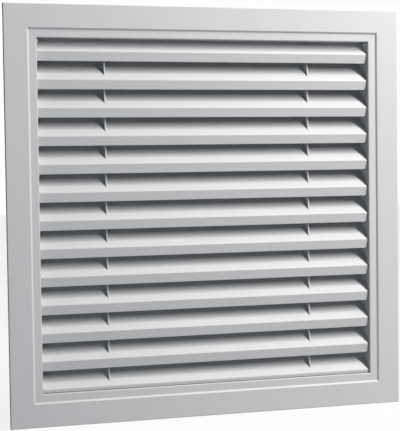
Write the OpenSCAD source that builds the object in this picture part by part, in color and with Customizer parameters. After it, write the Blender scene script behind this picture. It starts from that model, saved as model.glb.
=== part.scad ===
// Flanged ventilation grille with fixed sloping blades.
//
// Four mitred frame bars make the face flange, the stepped inner border and
// the neck that goes into the wall. Corner keys in a channel behind the
// flange hold the mitres. The blades are folded strips: each has a front lip,
// a rounded nose and a web that rises towards the back, and a tab at each end
// that is riveted to the neck. Two notched support combs stand behind the
// lips and carry the blades over their length.
//
// X runs across the face, Y goes into the wall and Z is up. The origin is in
// the middle of the opening, in the plane of the wall that the flange meets.

/* [Face] */
// Width of the face over the flange
face_w = 598; // [400:1:900]
// Height of the face over the flange
face_h = 598; // [500:1:900]
// Depth from the front of the flange to the back of the neck
frame_depth = 46; // [44:0.5:80]

/* [Frame profile] */
// Wall thickness of the frame profile
frame_t = 1.6; // [1.4:0.1:2.2]
// Width of the flange, from its outer edge to the middle of the step
flange_w = 34.5; // [32:0.5:60]
// Radius of the flange's outer front edge
edge_r = 1.2; // [0.5:0.1:1.6]
// Width of the sloping step between flange and inner border
step_w = 2.4; // [1.5:0.1:4]
// Depth of the step
step_depth = 2.2; // [1:0.1:2.4]
// Radius at the top and the foot of the step
step_r = 1.2; // [0.4:0.1:1.4]
// Width of the inner border, from the middle of the step to the opening
border_w = 12.5; // [8:0.5:25]
// Radius of the border's edge at the opening
border_r = 1.4; // [0.5:0.1:2]
// Gap between the wall and the channel's lips behind the flange
wall_gap = 0.28; // [0.1:0.02:3]

/* [Corner keys] */
// Length of each leg of a corner key, from the outer corner of the key
key_leg = 70; // [60:1:90]
// Width of a corner key's legs
key_w = 15; // [10:0.5:16]
// Thickness of the corner keys
key_t = 2; // [1.6:0.1:2.1]
// Distance from the frame's outer edge to a key's outer edge
key_inset = 9; // [8.5:0.5:12]
// Thickness of the channel's ribs and lips
rib_t = 1; // [0.8:0.1:1]
// Reach of the channel's lips over a key's edges
rib_reach = 2.5; // [1.5:0.1:3]
// Play between a corner key and its channel
key_play = 0.12; // [0.05:0.01:0.15]

/* [Blades] */
// Number of blades, spread evenly down the opening
blade_count = 13; // [10:1:16]
// Thickness of the blades
blade_t = 1.5; // [1:0.1:2]
// Depth of the blade noses behind the front of the flange
nose_depth = 5.5; // [5:0.1:9]
// Drop from the top of the opening to the nose of the top blade
top_drop = 18.5; // [15:0.5:20]
// Rise from the bottom of the opening to the nose of the bottom blade
bottom_rise = 5.5; // [4:0.5:12]
// Height of a blade's front lip
lip_h = 14; // [10:0.5:18]
// Angle at which the lip leans back towards its lower edge
lip_lean = 10.5; // [0:0.5:15]
// Angle of the web above the horizontal
web_angle = 45; // [40:1:50]
// Depth of the web, measured into the wall
web_run = 30; // [24:0.5:31]
// Outer radius of the nose
nose_r = 2.2; // [1.8:0.1:3]
// Gap between a blade's end and the neck
blade_end_gap = 0.8; // [0.3:0.1:1.5]
// Gap between the neck and the edge of a blade that is cut to fit
blade_edge_gap = 0.5; // [0.3:0.1:2]

/* [Blade end tabs] */
// Distance from the nose to a tab, measured along the web
tab_start = 23.5; // [18:0.5:24]
// Length of a tab along the web
tab_len = 13.6; // [10:0.2:14]
// Rise of a tab above the web
tab_rise = 10; // [9:0.5:13]
// Least distance from a blade's nose back to a tab, along the depth
tab_setback = 2; // [1:0.5:4]
// Inner radius of the bend between web and tab
tab_bend_r = 1; // [0.5:0.1:2]
// Width of the relief cut at each side of a tab
relief_w = 1; // [1:0.1:2]
// Gap between a tab and the neck
tab_gap = 0.1; // [0.05:0.05:0.2]

/* [Support combs] */
// Distance between the two combs
comb_spacing = 311; // [150:1:330]
// Shift of the pair of combs to the right of the middle
comb_shift = 2.5; // [-10:0.5:10]
// Thickness of the combs
comb_t = 2; // [1.5:0.1:3]
// Distance from a blade's nose to the comb's front edge, along the depth
comb_setback = 6.5; // [5:0.5:8]
// Angle at which the comb's front edges lean back towards the top
comb_lean = 11; // [0:0.5:15]
// Depth of the comb's spine behind the blades
comb_spine = 6; // [3:0.5:10]
// Play between a blade and its slot in the comb
comb_play = 0.25; // [0.15:0.05:0.4]
// Width of the comb's end tabs
comb_tab_w = 15; // [12:0.5:25]
// Depth of the comb's end tabs
comb_tab_d = 14; // [12:0.5:15]
// Inner radius of the comb's tab bends
comb_bend_r = 1.5; // [1:0.1:2]

/* [Fixings] */
// Diameter of the blind rivets
rivet_d = 3.2; // [2.4:0.1:3.6]
// Diameter of the rivet heads
rivet_head_d = 6.5; // [5:0.1:7]
// Height of the rivet heads
rivet_head_h = 1.1; // [0.8:0.1:1.5]
// Play between a rivet and its hole, on the radius
rivet_play = 0.05; // [0.03:0.01:0.1]
// Diameter of the fixing holes in the neck, below the first and the last blade but one
fix_hole_d = 4; // [3:0.1:5]
// Depth of the fixing holes behind the front of the flange
fix_hole_depth = 13; // [12:0.5:15]
// Drop of a fixing hole below the nose of the blade above it
fix_hole_drop = 22; // [19:0.5:23]

/* [Quality] */
// Segments of a full circle
$fn = 48; // [32:4:96]

/* [Hidden] */
BLADES = [1 : blade_count];
function two_digits(i) = str(i < 10 ? "0" : "", i);
function blade_name(i) = str("blade_", two_digits(i));
eps = 0.01;
trim_root = 0.3;

// The channel behind the flange that holds the corner keys
channel_u = key_inset - key_play;
channel_w = key_w + 2 * key_play;
channel_d = key_t + key_play;

// The flange's outer edge reaches back to the wall, past the channel's lips
edge_depth = frame_t + channel_d + rib_t + wall_gap;

// The opening and the planes that the inner pieces are placed from
profile_w = flange_w + border_w;
open_w = face_w - 2 * profile_w;
open_h = face_h - 2 * profile_w;
front_y = -edge_depth;
back_y = front_y + frame_depth;
nose_y = front_y + nose_depth;
key_y = front_y + frame_t + key_play / 2;

// The step in the face, from the edge of the flange to the border
step_slope = atan2(step_depth, step_w);
step_down = [cos(step_slope), sin(step_slope)];
step_top = [flange_w - step_w / 2, 0];
step_foot = [flange_w + step_w / 2, step_depth];

// The blades are spread evenly between the first nose and the last
pitch = (open_h - top_drop - bottom_rise) / (blade_count - 1);
function nose_z(i) = open_h / 2 - top_drop - (i - 1) * pitch;
function room_below(i) = nose_z(i) + open_h / 2 - blade_edge_gap;
function room_above(i) = open_h / 2 - nose_z(i) - blade_edge_gap;
function lip_height(i) = min(lip_h, room_below(i));
function web_length(i) = min(
    web_run / cos(web_angle),
    room_above(i) / sin(web_angle)
);

// A point of a web's own plane: s along the web from the nose, n above it
function web_point(s, n) = [
    s * cos(web_angle) - n * sin(web_angle),
    s * sin(web_angle) + n * cos(web_angle)
];

// The blades' end tabs and their rivets. The top blade's tabs stand nearer to
// the nose, so that their rivets stay below the top of the neck.
head_r = rivet_head_d / 2;
head_sphere = (head_r * head_r + rivet_head_h * rivet_head_h) / (2 * rivet_head_h);
tab_x = open_w / 2 - tab_gap;
tab_bend = tab_bend_r + blade_t;
rivet_n = (tab_bend_r + tab_rise) / 2;
function rivet_s_limit(i) =
    (room_above(i) - head_r - rivet_n * cos(web_angle)) / sin(web_angle);
function tab_first(i) = min(tab_start, rivet_s_limit(i) - tab_len / 2);
function tab_mid(i) = tab_first(i) + tab_len / 2;
function rivet_at(i) = web_point(tab_mid(i), rivet_n);
rivet_grip = frame_t + tab_gap + blade_t;
comb_grip = frame_t + tab_gap + comb_t;
tail_d = rivet_d + 1.6;
tail_h = 2.4;
tail_r = 0.8;
tail_gap = 0.02;

// The combs
comb_x = [comb_shift - comb_spacing / 2, comb_shift + comb_spacing / 2];
comb_front = nose_y + comb_setback;
slot_end = web_run / cos(web_angle) + comb_play;
comb_back = nose_y + slot_end * cos(web_angle) + comb_spine;
comb_half = open_h / 2 - tab_gap;
comb_bend = comb_bend_r + comb_t;
comb_rivet_y = [
    comb_back - comb_tab_d + rivet_head_d / 2,
    comb_back - rivet_head_d / 2
];

frame_colour = [0.80, 0.80, 0.80];
blade_colour = [0.78, 0.79, 0.80];
comb_colour = [0.76, 0.77, 0.78];
key_colour = [0.62, 0.63, 0.65];
rivet_colour = [0.70, 0.71, 0.73];

// What lies between a corner and a round of radius r in it, and a little past
// the corner. The edges leave the corner along the unit directions d1 and d2.
module corner_trim(corner, d1, d2, r) {
    inner = acos(d1 * d2);
    reach = r / tan(inner / 2);
    bisector = (d1 + d2) / norm(d1 + d2);
    centre = corner + bisector * r / sin(inner / 2);
    difference() {
        polygon([
            corner - bisector * trim_root,
            corner + d1 * reach,
            centre,
            corner + d2 * reach
        ]);
        translate(centre) circle(r);
    }
}

// The frame profile is drawn with u running inwards from the frame's outer
// edge and v running back from the front of the flange.

// The step between flange and border, with both its edges rounded
module border_recess() {
    difference() {
        polygon([
            step_top,
            step_foot,
            [profile_w + 1, step_depth],
            [profile_w + 1, -1],
            [step_top.x, -1]
        ]);
        corner_trim(step_foot, [1, 0], -step_down, step_r);
    }
}

// The profile as if it were solid, with its front edges rounded
module profile_form() {
    difference() {
        square([profile_w, frame_depth]);
        border_recess();
        corner_trim([0, 0], [1, 0], [0, 1], edge_r);
        corner_trim(step_top, [-1, 0], step_down, step_r);
        corner_trim([profile_w, step_depth], [-1, 0], [0, 1], border_r);
    }
}

// The space behind the profile's walls
module profile_hollow() {
    shift = frame_t * tan(step_slope / 2);
    polygon([
        [frame_t, frame_t],
        [step_top.x - shift, frame_t],
        [step_foot.x - shift, step_depth + frame_t],
        [profile_w - frame_t, step_depth + frame_t],
        [profile_w - frame_t, frame_depth + 1],
        [frame_t, frame_depth + 1]
    ]);
}

// Two lipped ribs on the back of the flange, which hold the corner keys
module key_channel() {
    for (side = [0, 1]) {
        rib_u = channel_u + side * channel_w - (1 - side) * rib_t;
        lip_u = side == 0 ? rib_u : rib_u + rib_t - rib_reach;
        translate([rib_u, frame_t - eps]) square([rib_t, channel_d + rib_t + eps]);
        translate([lip_u, frame_t + channel_d]) square([rib_reach, rib_t]);
    }
}

// Section of the frame bars: flange, step, border and neck in one profile
module frame_section() {
    difference() {
        profile_form();
        profile_hollow();
        translate([-1, edge_depth]) square([frame_t + 2, frame_depth]);
    }
    key_channel();
}

// One bar, mitred at both ends, along the side at -Z of a frame that is
// bar_len long there and 2 * half high
module mitred_bar(bar_len, half) {
    translate([0, front_y, -half]) intersection() {
        rotate([0, -90, 0]) linear_extrude(bar_len, center = true) frame_section();
        translate([0, frame_depth + 1, 0]) rotate([90, 0, 0])
            linear_extrude(frame_depth + 2) polygon([
                [-bar_len / 2, 0],
                [bar_len / 2, 0],
                [bar_len / 2 - profile_w - 1, profile_w + 1],
                [profile_w + 1 - bar_len / 2, profile_w + 1]
            ]);
    }
}

// Holes through the left and right neck walls, for rivets and for fixing
module side_holes() {
    for (i = BLADES) {
        translate([0, nose_y + rivet_at(i)[0], nose_z(i) + rivet_at(i)[1]])
            rotate([0, 90, 0])
                cylinder(h = open_w + 20, r = rivet_d / 2 + rivet_play, center = true);
    }
    for (i = [1, blade_count - 1]) {
        translate([0, front_y + fix_hole_depth, nose_z(i) - fix_hole_drop])
            rotate([0, 90, 0])
                cylinder(h = open_w + 20, d = fix_hole_d, center = true);
    }
}

// Middle of a comb's end tab, which is bent away from the middle of the face
function comb_tab_x(x) = x + sign(x) * (comb_t / 2 + comb_bend_r + comb_tab_w) / 2;

// Holes through the top and bottom neck walls for the combs' rivets
module end_holes() {
    for (x = comb_x, y = comb_rivet_y) {
        translate([comb_tab_x(x), y, 0])
            cylinder(h = open_h + 20, r = rivet_d / 2 + rivet_play, center = true);
    }
}

module frame_bottom() {
    color(frame_colour) difference() {
        mitred_bar(face_w, face_h / 2);
        end_holes();
    }
}

module frame_top() {
    color(frame_colour) difference() {
        rotate([0, 180, 0]) mitred_bar(face_w, face_h / 2);
        end_holes();
    }
}

module frame_left() {
    color(frame_colour) difference() {
        rotate([0, 90, 0]) mitred_bar(face_h, face_w / 2);
        side_holes();
    }
}

module frame_right() {
    color(frame_colour) difference() {
        rotate([0, -90, 0]) mitred_bar(face_h, face_w / 2);
        side_holes();
    }
}

// L-shaped key in the channels of two bars, drawn for the bottom left corner
module corner_key() {
    color(key_colour)
        translate([key_inset - face_w / 2, key_y + key_t, key_inset - face_h / 2])
            rotate([90, 0, 0]) linear_extrude(key_t) difference() {
                square(key_leg);
                translate([key_w, key_w]) square(key_leg);
                corner_trim([0, 0], [1, 0], [0, 1], 2);
                corner_trim([key_leg, 0], [-1, 0], [0, 1], 2);
                corner_trim([0, key_leg], [1, 0], [0, -1], 2);
            }
}

module corner_key_bottom_left() {
    corner_key();
}

module corner_key_bottom_right() {
    mirror([1, 0, 0]) corner_key();
}

module corner_key_top_left() {
    mirror([0, 0, 1]) corner_key();
}

module corner_key_top_right() {
    mirror([1, 0, 0]) mirror([0, 0, 1]) corner_key();
}

// Section of a blade: depth along the first axis, height along the second,
// from the corner in which the lip's front and the web's top would meet
module blade_section(lip, web) {
    down = [sin(lip_lean), -cos(lip_lean)];
    up = [cos(web_angle), sin(web_angle)];
    inner_corner = (down + up) / norm(down + up) * blade_t / sin(acos(down * up) / 2);
    lip_back = [cos(lip_lean), sin(lip_lean)] * blade_t;
    web_under = [sin(web_angle), -cos(web_angle)] * blade_t;
    lip_len = (lip - blade_t / 2) / cos(lip_lean);
    web_len = web - blade_t / 2;
    difference() {
        union() {
            polygon([
                [0, 0],
                down * lip_len,
                down * lip_len + lip_back,
                inner_corner,
                up * web_len + web_under,
                up * web_len
            ]);
            translate(down * lip_len + lip_back / 2) circle(d = blade_t);
            translate(up * web_len + web_under / 2) circle(d = blade_t);
            corner_trim(inner_corner, down, up, nose_r - blade_t);
        }
        corner_trim([0, 0], down, up, nose_r);
    }
}

// Quarter turn of a bend in sheet metal, round the origin
module bend_quarter(inner, outer) {
    intersection() {
        difference() {
            circle(outer);
            circle(inner);
        }
        square(outer + 1);
    }
}

// Tab at the end of a web, seen along the web: x across and n above it
module tab_bend_section() {
    bend_x = tab_x - tab_bend;
    root_w = relief_w + blade_t;
    translate([bend_x - root_w, -blade_t]) square([root_w, blade_t]);
    translate([bend_x, tab_bend_r]) mirror([0, 1]) bend_quarter(tab_bend_r, tab_bend);
}

// Plate of a tab, seen from the side: s along the web and n above it. It stays
// below the top of the neck and behind the blade's nose.
module tab_plate_section(i) {
    first = tab_first(i);
    difference() {
        translate([first, tab_bend_r]) square([tab_len, tab_rise - tab_bend_r]);
        corner_trim([first, tab_rise], [1, 0], [0, -1], 2);
        corner_trim([first + tab_len, tab_rise], [-1, 0], [0, -1], 2);
        rotate(-web_angle) translate([-face_h, room_above(i)]) square(2 * face_h);
        rotate(-web_angle) translate([tab_setback - 2 * face_h, -face_h]) square(2 * face_h);
        translate([tab_mid(i), rivet_n]) circle(rivet_d / 2 + rivet_play);
    }
}

// One end tab in the web's own frame: s along Y, n along Z
module end_tab(i) {
    translate([0, tab_first(i) + tab_len, 0]) rotate([90, 0, 0])
        linear_extrude(tab_len) tab_bend_section();
    translate([tab_x - blade_t, 0, 0]) rotate([90, 0, 90])
        linear_extrude(blade_t) tab_plate_section(i);
}

// Room round a tab that is cut out of the web
module tab_relief(i) {
    bend_x = tab_x - tab_bend;
    translate([bend_x - relief_w, tab_first(i) - relief_w, -2 * blade_t])
        cube([2 * tab_bend + relief_w, tab_len + 2 * relief_w, 3 * blade_t]);
}

module blade(i) {
    blade_len = open_w - 2 * blade_end_gap;
    color(blade_colour) translate([0, nose_y, nose_z(i)]) {
        difference() {
            rotate([90, 0, 90]) linear_extrude(blade_len, center = true)
                blade_section(lip_height(i), web_length(i));
            for (side = [0, 1]) {
                mirror([side, 0, 0]) rotate([web_angle, 0, 0]) tab_relief(i);
            }
        }
        for (side = [0, 1]) {
            mirror([side, 0, 0]) rotate([web_angle, 0, 0]) end_tab(i);
        }
    }
}

// Slot in a comb for one blade's web, open towards the front
module comb_slot(i) {
    web = web_length(i);
    translate([nose_y, nose_z(i)]) rotate(web_angle)
        translate([-web, -blade_t - comb_play])
            square([2 * web + comb_play, blade_t + 2 * comb_play]);
}

// A tooth's front edge leans back, from the web below it to the slot above it
module comb_tooth_cut(i) {
    low = nose_z(i) + comb_setback * tan(web_angle);
    slot_rise = pitch - blade_t / 2 / cos(web_angle);
    rise = slot_rise / (1 - tan(comb_lean) * tan(web_angle));
    polygon([
        [comb_front - 1, low],
        [comb_front, low],
        [comb_front + rise * tan(comb_lean), low + rise],
        [comb_front - 1, low + slot_rise - tan(web_angle)]
    ]);
}

// There is no tooth above the top blade
module comb_top_cut() {
    low = nose_z(1) + comb_setback * tan(web_angle);
    polygon([
        [comb_front - 1, low],
        [comb_front, low],
        [comb_front + (comb_half - low) / tan(web_angle), comb_half],
        [comb_front - 1, comb_half]
    ]);
}

// Side view of a comb's plate, which ends where the bends of its tabs begin
module comb_outline() {
    plate_half = comb_half - comb_bend;
    difference() {
        translate([comb_front, -plate_half]) square([comb_back - comb_front, 2 * plate_half]);
        for (i = BLADES) {
            comb_slot(i);
            if (i > 1) comb_tooth_cut(i);
        }
        comb_top_cut();
        corner_trim([comb_front, -plate_half], [1, 0], [0, 1], 2);
        for (end = [0, 1]) {
            mirror([0, end]) translate([comb_back - comb_tab_d - relief_w, plate_half - relief_w])
                square([relief_w, 2 * relief_w]);
        }
    }
}

// Bent tab at the top end of a comb, seen along the depth
module comb_tab_section() {
    bend_x = comb_t / 2 + comb_bend_r;
    bend_z = comb_half - comb_bend;
    translate([-comb_t / 2, bend_z - comb_t]) square([comb_t, comb_t]);
    translate([bend_x, bend_z]) mirror([1, 0]) bend_quarter(comb_bend_r, comb_bend);
    translate([bend_x, comb_half - comb_t]) square([comb_tab_w, comb_t]);
}

// Tabs at both ends of a comb, bent away from the middle of the face
module comb_tabs(x) {
    for (end = [0, 1]) {
        mirror([x < 0 ? 1 : 0, 0, 0]) mirror([0, 0, end])
            translate([0, comb_back, 0]) rotate([90, 0, 0])
                linear_extrude(comb_tab_d) comb_tab_section();
    }
}

module support_comb(x) {
    color(comb_colour) difference() {
        translate([x, 0, 0]) {
            rotate([90, 0, 90]) linear_extrude(comb_t, center = true) comb_outline();
            comb_tabs(x);
        }
        end_holes();
    }
}

module support_comb_left() {
    support_comb(comb_x[0]);
}

module support_comb_right() {
    support_comb(comb_x[1]);
}

// Blind rivet from the outside of the neck, pointing inwards along -Z: head
// outside at z = 0, and upset tail behind the sheet that it grips
module rivet(grip) {
    rotate_extrude() {
        translate([0, -grip - tail_gap]) square([rivet_d / 2, grip + tail_gap + eps]);
        intersection() {
            translate([0, rivet_head_h - head_sphere]) circle(head_sphere);
            square([rivet_head_d, rivet_head_h]);
        }
        translate([0, -grip - tail_gap - tail_h]) difference() {
            square([tail_d / 2, tail_h]);
            corner_trim([tail_d / 2, 0], [-1, 0], [0, 1], tail_r);
        }
    }
}

module blade_rivets_right() {
    color(rivet_colour) for (i = BLADES) {
        translate([open_w / 2 + frame_t, nose_y + rivet_at(i)[0], nose_z(i) + rivet_at(i)[1]])
            rotate([0, 90, 0]) rivet(rivet_grip);
    }
}

module blade_rivets_left() {
    mirror([1, 0, 0]) blade_rivets_right();
}

module comb_rivets() {
    color(rivet_colour) for (x = comb_x, y = comb_rivet_y, end = [0, 1]) {
        translate([comb_tab_x(x), y, 0]) mirror([0, 0, end])
            translate([0, 0, open_h / 2 + frame_t]) rivet(comb_grip);
    }
}

frame_top();
frame_bottom();
frame_left();
frame_right();
corner_key_top_left();
corner_key_top_right();
corner_key_bottom_left();
corner_key_bottom_right();
for (i = BLADES) blade(i);
support_comb_left();
support_comb_right();
blade_rivets_left();
blade_rivets_right();
comb_rivets();
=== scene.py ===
"""Looks of the ventilation grille: finishes, rivets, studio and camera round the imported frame.

The CAD pieces keep their meshes. Their coats are procedural, and their mitre joints are
found from the frame's own sizes. The blind rivets keep their CAD meshes and get bare aluminium.
"""

from __future__ import annotations

import logging
import math
from dataclasses import dataclass, field
from enum import Enum
from typing import Any, Iterable, Sequence

import bmesh
import bpy
from mathutils import Matrix, Vector

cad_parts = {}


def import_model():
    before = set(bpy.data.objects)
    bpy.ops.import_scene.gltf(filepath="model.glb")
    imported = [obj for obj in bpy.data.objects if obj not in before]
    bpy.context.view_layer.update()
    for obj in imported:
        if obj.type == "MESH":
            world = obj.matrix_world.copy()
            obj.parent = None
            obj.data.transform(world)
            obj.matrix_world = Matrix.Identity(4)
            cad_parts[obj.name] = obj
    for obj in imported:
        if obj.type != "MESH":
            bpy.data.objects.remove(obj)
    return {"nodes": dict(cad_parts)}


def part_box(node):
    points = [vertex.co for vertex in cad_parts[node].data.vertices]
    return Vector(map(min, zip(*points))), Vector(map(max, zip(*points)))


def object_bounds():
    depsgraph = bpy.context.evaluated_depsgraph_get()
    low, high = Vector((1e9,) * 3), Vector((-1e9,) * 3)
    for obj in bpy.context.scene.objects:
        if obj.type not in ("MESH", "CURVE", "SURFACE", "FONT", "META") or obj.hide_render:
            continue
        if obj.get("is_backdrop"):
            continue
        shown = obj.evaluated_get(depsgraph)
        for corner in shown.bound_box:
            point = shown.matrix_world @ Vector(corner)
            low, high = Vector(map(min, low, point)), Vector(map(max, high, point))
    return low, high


LOG = logging.getLogger("grille")
MM = 0.001
IMAGE_WIDTH = 400
IMAGE_HEIGHT = 431

Colour = tuple[float, float, float]


class Axis(Enum):
    """Row axes, with their index in a vector."""

    X = 0
    Y = 1
    Z = 2


class Bar(Enum):
    """The four mitred bars of the frame, by node name."""

    TOP = "frame_top"
    BOTTOM = "frame_bottom"
    LEFT = "frame_left"
    RIGHT = "frame_right"


# Shader graph helpers


class Graph:
    """A material's or world's node tree, with one method that adds any node."""

    def __init__(self, tree: bpy.types.NodeTree) -> None:
        """Empty the tree.

        Args:
            tree: The node tree to build in.
        """
        self.tree = tree
        tree.nodes.clear()

    def node(
        self,
        kind: str,
        settings: dict[str, Any] | None = None,
        inputs: dict[int | str, Any] | None = None,
    ) -> bpy.types.Node:
        """Add a node, set its settings first and then its sockets.

        Args:
            kind: The node's type, such as "ShaderNodeTexNoise".
            settings: Properties of the node. The key "stops" fills a colour ramp.
            inputs: Values, sockets or Values for the inputs, by index or name.

        Returns:
            The new node.
        """
        made = self.tree.nodes.new(kind)
        for key, value in (settings or {}).items():
            if key == "stops":
                self._fill_ramp(made, value)
            else:
                setattr(made, key, value)
        for key, value in (inputs or {}).items():
            self.feed(made.inputs[key], value)
        return made

    def feed(self, socket: bpy.types.NodeSocket, value: Any) -> None:
        """Link or set one input socket.

        Args:
            socket: The input to feed.
            value: A Value, an output socket, or a plain value.
        """
        if isinstance(value, Value):
            value = value.socket
        if isinstance(value, bpy.types.NodeSocket):
            self.tree.links.new(value, socket)
        else:
            socket.default_value = value

    def value(self, kind: str, output: int | str = 0, **kwargs: Any) -> Value:
        """Add a node and wrap one of its outputs as a Value.

        Args:
            kind: The node's type.
            output: Index or name of the output.
            **kwargs: The settings and inputs of Graph.node.

        Returns:
            The wrapped output.
        """
        return Value(self, self.node(kind, **kwargs).outputs[output])

    def mix(self, factor: Any, first: Any, second: Any) -> bpy.types.NodeSocket:
        """Mix two colours.

        Args:
            factor: Share of the second colour.
            first: The first colour, as a tuple or a socket.
            second: The second colour, as a tuple or a socket.

        Returns:
            The mixed colour's socket.
        """
        inputs = {0: factor, 6: opaque(first), 7: opaque(second)}
        return self.node("ShaderNodeMix", {"data_type": "RGBA"}, inputs).outputs[2]

    def noise(self, place: Any, scale: float, detail: float = 2.0, rough: float = 0.5) -> Value:
        """Add a noise texture.

        Args:
            place: Coordinates of the texture.
            scale: Cells to the metre.
            detail: Octaves of finer noise.
            rough: Share that each finer octave keeps.

        Returns:
            The noise, about 0.5 in the middle.
        """
        inputs = {"Vector": place, "Scale": scale, "Detail": detail, "Roughness": rough}
        return self.value("ShaderNodeTexNoise", output="Fac", inputs=inputs)

    @staticmethod
    def _fill_ramp(made: bpy.types.Node, stops: Sequence[tuple[float, Colour]]) -> None:
        """Fill a colour ramp with its stops."""
        elements = made.color_ramp.elements
        while len(elements) < len(stops):
            elements.new(0.5)
        for element, (place, colour) in zip(elements, stops):
            element.position = place
            element.color = (*colour, 1.0)


class Value:
    """A number socket that does shader maths as Python expressions."""

    def __init__(self, graph: Graph, socket: bpy.types.NodeSocket) -> None:
        """Wrap an output socket of a graph."""
        self.graph = graph
        self.socket = socket

    def _math(self, operation: str, *operands: Any) -> Value:
        """Add a Math node on the given operands."""
        inputs = dict(enumerate(operands))
        made = self.graph.node("ShaderNodeMath", {"operation": operation}, inputs)
        return Value(self.graph, made.outputs[0])

    def __add__(self, other: Any) -> Value:
        """Sum."""
        return self._math("ADD", self, other)

    def __radd__(self, other: Any) -> Value:
        """Sum with a number on the left."""
        return self._math("ADD", other, self)

    def __sub__(self, other: Any) -> Value:
        """Difference."""
        return self._math("SUBTRACT", self, other)

    def __rsub__(self, other: Any) -> Value:
        """Difference from a number on the left."""
        return self._math("SUBTRACT", other, self)

    def __mul__(self, other: Any) -> Value:
        """Product."""
        return self._math("MULTIPLY", self, other)

    def __rmul__(self, other: Any) -> Value:
        """Product with a number on the left."""
        return self._math("MULTIPLY", other, self)

    def __truediv__(self, other: Any) -> Value:
        """Quotient."""
        return self._math("DIVIDE", self, other)

    def __abs__(self) -> Value:
        """Size without the sign."""
        return self._math("ABSOLUTE", self)

    def at_least(self, other: Any) -> Value:
        """The larger of this and another value."""
        return self._math("MAXIMUM", self, other)

    def at_most(self, other: Any) -> Value:
        """The smaller of this and another value."""
        return self._math("MINIMUM", self, other)

    def smooth(self, low: float, high: float) -> Value:
        """Rise smoothly from 0 at low to 1 at high, or fall if low is the larger.

        Args:
            low: Where the result is 0.
            high: Where the result is 1.

        Returns:
            The eased value, from 0 to 1.
        """
        settings = {"interpolation_type": "SMOOTHSTEP"}
        inputs = {0: self, 1: min(low, high), 2: max(low, high), 3: 0.0, 4: 1.0}
        eased = self.graph.value("ShaderNodeMapRange", settings=settings, inputs=inputs)
        return eased if low < high else 1.0 - eased


def opaque(colour: Any) -> Any:
    """Give a plain colour its alpha, and leave a socket as it is."""
    return (*colour, 1.0) if isinstance(colour, tuple) and len(colour) == 3 else colour


@dataclass(frozen=True)
class Place:
    """Where a point of the surface lies, in the row frame, and which way it faces."""

    point: bpy.types.NodeSocket
    x: Value
    y: Value
    z: Value
    up: Value
    front: Value

    @classmethod
    def read(cls, graph: Graph) -> Place:
        """Add the nodes that read the surface's place and facing.

        Args:
            graph: The material's graph.

        Returns:
            The place, with up 1 on a face that looks up and front 1 on one that looks forward.
        """
        point = graph.node("ShaderNodeTexCoord").outputs["Object"]
        normal = graph.node("ShaderNodeNewGeometry").outputs["Normal"]
        spot = graph.node("ShaderNodeSeparateXYZ", inputs={0: point})
        facing = graph.node("ShaderNodeSeparateXYZ", inputs={0: normal})
        x, y, z = (Value(graph, spot.outputs[axis.value]) for axis in Axis)
        up = Value(graph, facing.outputs[Axis.Z.value])
        front = 0.0 - Value(graph, facing.outputs[Axis.Y.value])
        return cls(point, x, y, z, up, front)


# Finishes


@dataclass(frozen=True)
class Finish:
    """A surface finish, built as a procedural material."""

    name: str
    colour: Colour

    def material(self) -> bpy.types.Material:
        """Make the material.

        Returns:
            The material, with its shader joined to the output.
        """
        made = bpy.data.materials.new(self.name)
        made.use_nodes = True
        made.diffuse_color = (*self.colour, 1.0)
        graph = Graph(made.node_tree)
        shader = graph.node("ShaderNodeBsdfPrincipled")
        self.dress(graph, shader, Place.read(graph))
        graph.node("ShaderNodeOutputMaterial", inputs={0: self.surface(graph, shader)})
        return made

    def surface(self, graph: Graph, shader: bpy.types.Node) -> bpy.types.NodeSocket:
        """The shader that the output takes. A finish that mixes in another one has its own."""
        return shader.outputs[0]

    def dress(self, graph: Graph, shader: bpy.types.Node, place: Place) -> None:
        """Feed the shader. Each finish has its own."""
        raise NotImplementedError


@dataclass(frozen=True)
class PowderCoat(Finish):
    """Satin powder coat: fine orange peel, slight clouding and a little dust on upward faces."""

    roughness: float = 0.46
    cloud_scale: float = 5.0
    cloud_depth: float = 0.035
    peel_size: float = 1.6 * MM
    peel_depth: float = 0.018 * MM
    dust_colour: Colour = (0.52, 0.50, 0.47)
    dust_share: float = 0.10

    def tone(self, graph: Graph, place: Place) -> Value:
        """How much darker the coat is at a place, from 0. Finishes with joints add to it."""
        cloud = graph.noise(place.point, self.cloud_scale, 3.0, 0.55)
        grain = graph.noise(place.point, 0.5 / self.peel_size, 2.0)
        return (cloud - 0.5) * self.cloud_depth + (grain - 0.5) * (self.cloud_depth * 0.4)

    def groove(self, place: Place) -> Any:
        """Depth of joints that the coat bridges, from 0 to 1."""
        return 0.0

    def dress(self, graph: Graph, shader: bpy.types.Node, place: Place) -> None:
        """Feed colour, roughness and bump.

        Args:
            graph: The material's graph.
            shader: The Principled shader to feed.
            place: Where the surface lies.
        """
        dark = self.tone(graph, place)
        deep = tuple(part * 0.5 for part in self.colour)
        coat = graph.mix(dark.at_least(0.0), self.colour, deep)
        settle = graph.noise(place.point, 60.0, 4.0, 0.6)
        dust = place.up.smooth(0.35, 0.95) * settle.smooth(0.35, 0.75) * self.dust_share
        graph.feed(shader.inputs["Base Color"], graph.mix(dust, coat, self.dust_colour))
        cloud = graph.noise(place.point, self.cloud_scale * 6.0, 2.0)
        rough = self.roughness + (cloud - 0.5) * 0.10 + dust * 1.5
        graph.feed(shader.inputs["Roughness"], rough)
        shader.inputs["IOR"].default_value = 1.5
        peel = graph.noise(place.point, 1.0 / self.peel_size, 2.0, 0.4)
        height = peel * self.peel_depth - self.groove(place) * (0.25 * MM)
        inputs = {"Strength": 1.0, "Distance": 1.0, "Height": height}
        bump = graph.node("ShaderNodeBump", inputs=inputs)
        graph.feed(shader.inputs["Normal"], bump.outputs["Normal"])


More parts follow.
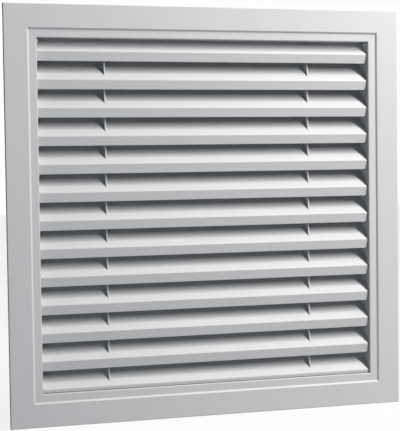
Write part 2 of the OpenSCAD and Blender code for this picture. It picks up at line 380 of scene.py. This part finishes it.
@dataclass(frozen=True)
class MitredCoat(PowderCoat):
    """The frame's coat, with the hairline of the mitre joints."""

    half_opening: float = 0.252
    half_step: float = 0.2645
    seam_width: float = 0.5 * MM

    def seam(self, place: Place) -> Value:
        """The mitre joint's hairline: 1 on the joint, 0 off it."""
        return abs(abs(place.x) - abs(place.z)).smooth(self.seam_width, self.seam_width * 0.2)

    def border(self, place: Place) -> Value:
        """1 on the inner border and fading outwards over the flange."""
        reach = abs(place.x).at_least(abs(place.z))
        return reach.smooth(self.half_step + 0.018, self.half_step)

    def tone(self, graph: Graph, place: Place) -> Value:
        """Clouding, and the joints' dark hairlines, clearest at the top left corner."""
        plain = super().tone(graph, place)
        corner = (place.z - place.x).smooth(0.0, 0.5) * 0.6 + 0.25
        return plain + self.seam(place) * self.border(place) * corner

    def groove(self, place: Place) -> Value:
        """The joints are a fine groove on the border."""
        return self.seam(place) * self.border(place) * 0.5


@dataclass(frozen=True)
class MillAluminium(Finish):
    """Bare aluminium with fine lines along one axis and a faint oxide bloom."""

    along: Axis = Axis.X
    roughness: float = 0.38

    def dress(self, graph: Graph, shader: bpy.types.Node, place: Place) -> None:
        """Feed colour, roughness, metal and bump.

        Args:
            graph: The material's graph.
            shader: The Principled shader to feed.
            place: Where the surface lies.
        """
        stretch = [900.0, 900.0, 900.0]
        stretch[self.along.value] = 12.0
        inputs = {0: place.point, 1: tuple(stretch)}
        drawn = graph.node("ShaderNodeVectorMath", {"operation": "MULTIPLY"}, inputs).outputs[0]
        lines = graph.noise(drawn, 1.0, 3.0, 0.6)
        bloom = graph.noise(place.point, 45.0, 4.0, 0.6)
        dull = tuple(part * 0.72 for part in self.colour)
        share = bloom.smooth(0.4, 0.75) * 0.5 + (lines - 0.5) * 0.4
        graph.feed(shader.inputs["Base Color"], graph.mix(share.at_least(0.0), self.colour, dull))
        shader.inputs["Metallic"].default_value = 1.0
        rough = self.roughness + (lines - 0.5) * 0.2 + bloom.smooth(0.4, 0.8) * 0.12
        graph.feed(shader.inputs["Roughness"], rough)
        inputs = {"Strength": 1.0, "Distance": 1.0, "Height": lines * (0.006 * MM)}
        bump = graph.node("ShaderNodeBump", inputs=inputs)
        graph.feed(shader.inputs["Normal"], bump.outputs["Normal"])


@dataclass(frozen=True)
class PaperFloor(Finish):
    """Pale matt paper under the object."""

    glow: float = 1.12
    glow_share: float = 0.78

    def dress(self, graph: Graph, shader: bpy.types.Node, place: Place) -> None:
        """Feed colour and roughness.

        Args:
            graph: The material's graph.
            shader: The Principled shader to feed.
            place: Where the surface lies.
        """
        fibre = graph.noise(place.point, 220.0, 3.0)
        off = tuple(part * 0.97 for part in self.colour)
        graph.feed(shader.inputs["Base Color"], graph.mix(fibre, self.colour, off))
        shader.inputs["Roughness"].default_value = 0.9
        shader.inputs["Specular IOR Level"].default_value = 0.2

    def surface(self, graph: Graph, shader: bpy.types.Node) -> bpy.types.NodeSocket:
        """Show the paper nearly white to the camera, with the shadows that lie on it."""
        seen = graph.node("ShaderNodeLightPath").outputs["Is Camera Ray"]
        inputs = {"Color": (1.0, 1.0, 1.0, 1.0), "Strength": self.glow}
        white = graph.node("ShaderNodeEmission", inputs=inputs)
        share = Value(graph, seen) * self.glow_share
        inputs = {0: share, 1: shader.outputs[0], 2: white.outputs[0]}
        return graph.node("ShaderNodeMixShader", inputs=inputs).outputs[0]


# The grille's sub-assemblies


def node_span(name: str) -> tuple[Vector, Vector]:
    """Lowest and highest corners of a CAD node, in metres."""
    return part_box(name)


@dataclass
class Assembly:
    """A group of the grille's pieces that are dressed alike."""

    nodes: dict[str, bpy.types.Object]
    pieces: list[bpy.types.Object] = field(default_factory=list)

    def cover(self, names: Iterable[str], finish: Finish) -> None:
        """Give CAD nodes one finish.

        Args:
            names: The nodes to dress.
            finish: Their finish.
        """
        material = finish.material()
        for name in names:
            thing = self.nodes[name]
            thing.data.materials.clear()
            thing.data.materials.append(material)
            self.pieces.append(thing)

    def report(self) -> None:
        """Log each piece with its material and its number of faces."""
        for piece in self.pieces:
            coat = piece.data.materials[0].name
            LOG.info("%s: %s, %d faces", piece.name, coat, len(piece.data.polygons))


@dataclass
class Frame(Assembly):
    """The four mitred bars and the keys in their corners."""

    coat: Colour = (0.50, 0.50, 0.50)
    key_colour: Colour = (0.80, 0.80, 0.81)

    def dress(self) -> None:
        """Coat the bars and leave the keys bare."""
        bars = [bar.value for bar in Bar]
        low, high = node_span(Bar.LEFT.value)
        self.cover(bars, MitredCoat("frame_powder_coat", self.coat))
        LOG.info("frame is %.0f mm high", (high.z - low.z) / MM)
        keys = sorted(name for name in self.nodes if name.startswith("corner_key"))
        self.cover(keys, MillAluminium("corner_key_aluminium", self.key_colour))


@dataclass
class Blades(Assembly):
    """The thirteen folded blades."""

    coat: Colour = (0.50, 0.50, 0.50)

    def dress(self) -> None:
        """Coat the blades."""
        names = sorted(name for name in self.nodes if name.startswith("blade_") and name[-1].isdigit())
        self.cover(names, PowderCoat("blade_powder_coat", self.coat))


@dataclass
class SupportCombs(Assembly):
    """The two notched combs behind the lips."""

    coat: Colour = (0.50, 0.50, 0.50)

    def dress(self) -> None:
        """Coat the combs."""
        names = sorted(name for name in self.nodes if name.startswith("support_comb"))
        self.cover(names, PowderCoat("comb_powder_coat", self.coat))


@dataclass
class Rivets(Assembly):
    """The blind rivets."""

    colour: Colour = (0.78, 0.78, 0.79)

    def dress(self) -> None:
        """Dress the rivets."""
        names = [name for name in self.nodes if name.endswith("rivets") or "_rivets_" in name]
        self.cover(sorted(names), MillAluminium("rivet_aluminium", self.colour, Axis.Y))


# Studio and camera


@dataclass(frozen=True)
class SoftLight:
    """A rectangular light, placed by its direction from the middle of the face."""

    name: str
    azimuth: float
    elevation: float
    distance: float
    width: float
    height: float
    power: float
    colour: Colour

    def build(self) -> None:
        """Hang the light, aimed at the middle of the face."""
        lamp = bpy.data.lights.new(self.name, "AREA")
        lamp.shape = "RECTANGLE"
        lamp.size = self.width
        lamp.size_y = self.height
        lamp.energy = self.power
        lamp.color = self.colour
        holder = bpy.data.objects.new(self.name, lamp)
        side, rise = math.radians(self.azimuth), math.radians(self.elevation)
        to_light = Vector(
            (math.sin(side) * math.cos(rise), -math.cos(side) * math.cos(rise), math.sin(rise))
        )
        holder.location = to_light * self.distance
        holder.rotation_euler = to_light.to_track_quat("Z", "Y").to_euler()
        bpy.context.scene.collection.objects.link(holder)


@dataclass
class Studio:
    """Pale floor, a large soft light from the upper right, a weak cool fill and a dim surround."""

    floor_level: float
    floor_size: float = 14.0
    floor_colour: Colour = (0.36, 0.37, 0.39)
    key: SoftLight = SoftLight("key_light", 45.0, 42.0, 2.1, 0.3, 2.2, 84.0, (1.0, 0.975, 0.965))
    fill: SoftLight = SoftLight("fill_light", -35.0, -12.0, 1.7, 1.2, 0.5, 8.0, (0.60, 0.82, 1.0))
    surround: Colour = (0.80, 0.90, 1.0)
    surround_level: float = 0.05

    def build(self) -> None:
        """Make the floor, the light and the world."""
        self._floor()
        self.key.build()
        self.fill.build()
        self._world()

    def _floor(self) -> None:
        """Lay the floor just below the object."""
        mesh = bpy.data.meshes.new("studio_floor")
        grid = bmesh.new()
        bmesh.ops.create_grid(grid, x_segments=8, y_segments=8, size=self.floor_size / 2)
        grid.to_mesh(mesh)
        grid.free()
        floor = bpy.data.objects.new("studio_floor", mesh)
        floor.location.z = self.floor_level
        bpy.context.scene.collection.objects.link(floor)
        mesh.materials.append(PaperFloor("studio_paper", self.floor_colour).material())
        floor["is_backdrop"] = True

    def _world(self) -> None:
        """Light the object evenly from all round, and show white behind it."""
        world = bpy.data.worlds.new("studio_surround")
        world.use_nodes = True
        graph = Graph(world.node_tree)
        lit = graph.node(
            "ShaderNodeBackground",
            inputs={"Color": opaque(self.surround), "Strength": self.surround_level},
        )
        seen = graph.node("ShaderNodeBackground", inputs={"Color": (1, 1, 1, 1), "Strength": 1.0})
        path = graph.node("ShaderNodeLightPath")
        camera_ray = Value(graph, path.outputs["Is Camera Ray"])
        shown = camera_ray.at_least(Value(graph, path.outputs["Is Transmission Ray"]))
        choose = graph.node("ShaderNodeMixShader", inputs={0: shown, 1: lit.outputs[0], 2: seen.outputs[0]})
        output = graph.node("ShaderNodeOutputWorld")
        graph.tree.links.new(choose.outputs[0], output.inputs[0])
        bpy.context.scene.world = world


@dataclass
class PhotoCamera:
    """The camera of the photograph, found from the edges of the square face."""

    place: Vector = field(default_factory=lambda: Vector((-0.5528, -1.7939, 0.0818)))
    azimuth: float = 16.666
    pitch: float = -2.626
    roll: float = -0.748
    focal_pixels: float = 1280.7
    sensor: float = 36.0

    def build(self) -> None:
        """Make the camera and hand it to the scene."""
        side, tilt, turn = (math.radians(a) for a in (self.azimuth, self.pitch, self.roll))
        forward = Vector(
            (math.sin(side) * math.cos(tilt), math.cos(side) * math.cos(tilt), math.sin(tilt))
        )
        level = Vector((math.cos(side), -math.sin(side), 0.0))
        right = level * math.cos(turn) + level.cross(forward) * math.sin(turn)
        up = right.cross(forward)
        lens = bpy.data.cameras.new("photo_camera")
        lens.sensor_fit = "HORIZONTAL"
        lens.sensor_width = self.sensor
        lens.lens = self.focal_pixels / IMAGE_WIDTH * self.sensor
        lens.clip_start = 0.05
        lens.clip_end = 60.0
        camera = bpy.data.objects.new("photo_camera", lens)
        turned = Matrix((right, up, -forward)).transposed().to_4x4()
        camera.matrix_world = Matrix.Translation(self.place) @ turned
        bpy.context.scene.collection.objects.link(camera)
        bpy.context.scene.camera = camera


def plain(box: Any) -> list[list[float]]:
    """Turn a box's corners into plain lists of numbers."""
    return [[float(part) for part in corner] for corner in box]


def main() -> dict[str, list[list[float]]]:
    """Build the looks round the frame.

    Returns:
        The CAD model's box, under the name "cad".
    """
    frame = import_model()
    cad_box = plain(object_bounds())
    bpy.context.scene.view_settings.view_transform = "Standard"
    PhotoCamera().build()
    nodes = frame["nodes"]
    for assembly in (Frame(nodes), Blades(nodes), SupportCombs(nodes), Rivets(nodes)):
        assembly.dress()
        assembly.report()
    Studio(floor_level=cad_box[0][Axis.Z.value] - 0.2 * MM).build()
    return {"cad": cad_box}


if __name__ == "__main__":
    logging.basicConfig(level=logging.INFO, format="%(message)s")
    sizes = main()
    sizes["visual"] = plain(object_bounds())
